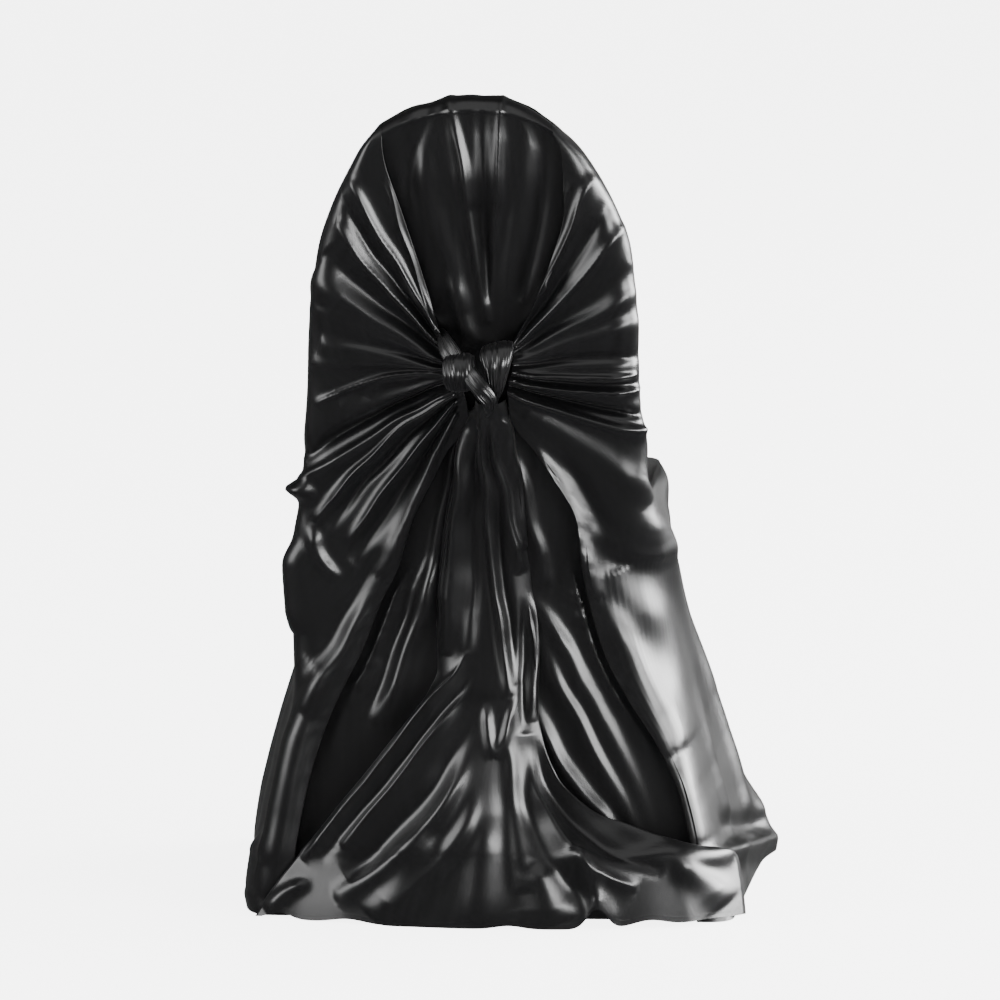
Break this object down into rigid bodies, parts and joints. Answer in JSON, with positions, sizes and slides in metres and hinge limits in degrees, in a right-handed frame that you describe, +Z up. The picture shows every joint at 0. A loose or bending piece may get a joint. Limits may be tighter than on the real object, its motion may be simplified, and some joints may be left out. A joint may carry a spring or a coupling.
{
  "type": "fitted chair cover with sash",
  "caption": "Full-length fitted satin chair cover, its side wings drawn to a sash knot behind the backrest, with a gathered tail and swags at the floor.",
  "frame": {"origin": "middle of the cover's foot, on the floor", "axes": "+X to the right as seen from behind the chair, +Y from the backrest towards the seat side, +Z up"},
  "size_m": [0.6062, 0.5496, 0.9487],
  "materials": {
    "satin": "black satin with a soft brushed gloss"
  },
  "bodies": {
    "root": {"cover_body": "satin", "back_panel": "satin", "sash_tail": "satin", "knot_left_band": "satin", "knot_wrap": "satin", "knot_right_fan": "satin", "knot_cross_band": "satin"}
  },
  "joints": []
}
